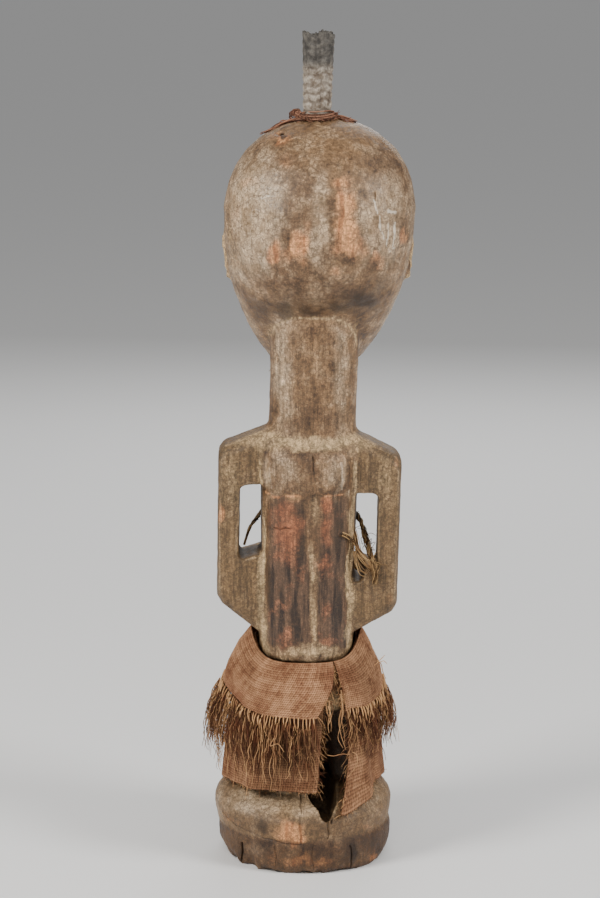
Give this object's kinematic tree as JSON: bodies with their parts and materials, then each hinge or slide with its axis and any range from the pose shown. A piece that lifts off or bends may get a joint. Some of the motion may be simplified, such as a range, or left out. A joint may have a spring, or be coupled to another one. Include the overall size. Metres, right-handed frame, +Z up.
{
  "type": "power figure",
  "caption": "Standing figure carved from one block of wood on its own round base, with a horn set in the crown and a fringed cloth skirt.",
  "frame": {"origin": "centre of the base's underside", "axes": "+Z up along the figure, -Y out of its back, +Y out of its face, +X to the right as seen from behind"},
  "size_m": [0.212, 0.2004, 0.8522],
  "materials": {
    "carved_wood": "hand-worn carved wood with grey bloom, orange wear and dusty recesses",
    "horn": "dry grey ringed horn, broken at the tip",
    "red_fibre": "reddish twisted fibre, matted",
    "outer_cloth": "plain-woven raffia, reddish tan, with a long frayed fringe",
    "inner_cloth": "plain-woven raffia, darker red-brown, frayed",
    "raffia_fibre": "dry untwisted fibre, straw to brown"
  },
  "bodies": {
    "root": {"figure": "carved_wood", "horn": "horn", "horn_lashing": "red_fibre", "skirt_outer_cloth": "outer_cloth", "skirt_inner_cloth": "inner_cloth", "belly_cord": "raffia_fibre", "beard_cord": "raffia_fibre"}
  },
  "joints": []
}
